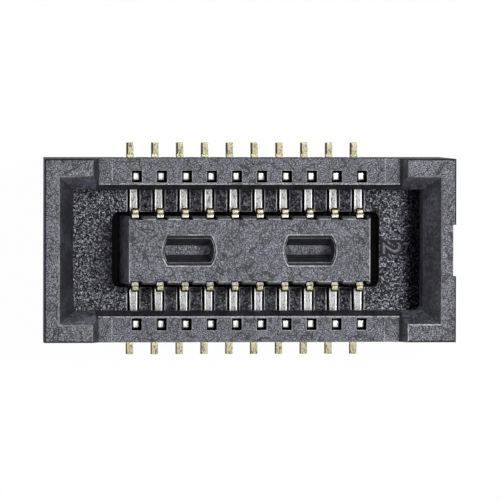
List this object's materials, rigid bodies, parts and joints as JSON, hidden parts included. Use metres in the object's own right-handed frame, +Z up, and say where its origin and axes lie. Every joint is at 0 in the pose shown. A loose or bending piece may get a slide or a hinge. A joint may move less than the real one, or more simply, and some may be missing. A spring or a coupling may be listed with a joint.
{
  "type": "board to board connector",
  "caption": "Low surface-mount receptacle with a central island, raised end blocks and two rows of spring contacts at fine pitch.",
  "frame": {"origin": "middle of the footprint, on the board's surface, where the solder tails rest", "axes": "+X along the rows towards the end with the gate relief, +Y across the rows towards row a, +Z up from the board"},
  "size_m": [0.0066, 0.0034, 0.0014],
  "materials": {
    "housing": "black moulded liquid crystal polymer, fine grain on the rims and coarse grain on the well floor",
    "contact": "stamped copper alloy, nickel plated, pale gold on the spring tips and the solder tails"
  },
  "bodies": {
    "root": {"housing": "housing", "contact_a01": "contact", "contact_a02": "contact", "contact_a03": "contact", "contact_a04": "contact", "contact_a05": "contact", "contact_a06": "contact", "contact_a07": "contact", "contact_a08": "contact", "contact_a09": "contact", "contact_a10": "contact", "contact_b01": "contact", "contact_b02": "contact", "contact_b03": "contact", "contact_b04": "contact", "contact_b05": "contact", "contact_b06": "contact", "contact_b07": "contact", "contact_b08": "contact", "contact_b09": "contact", "contact_b10": "contact"}
  },
  "joints": []
}
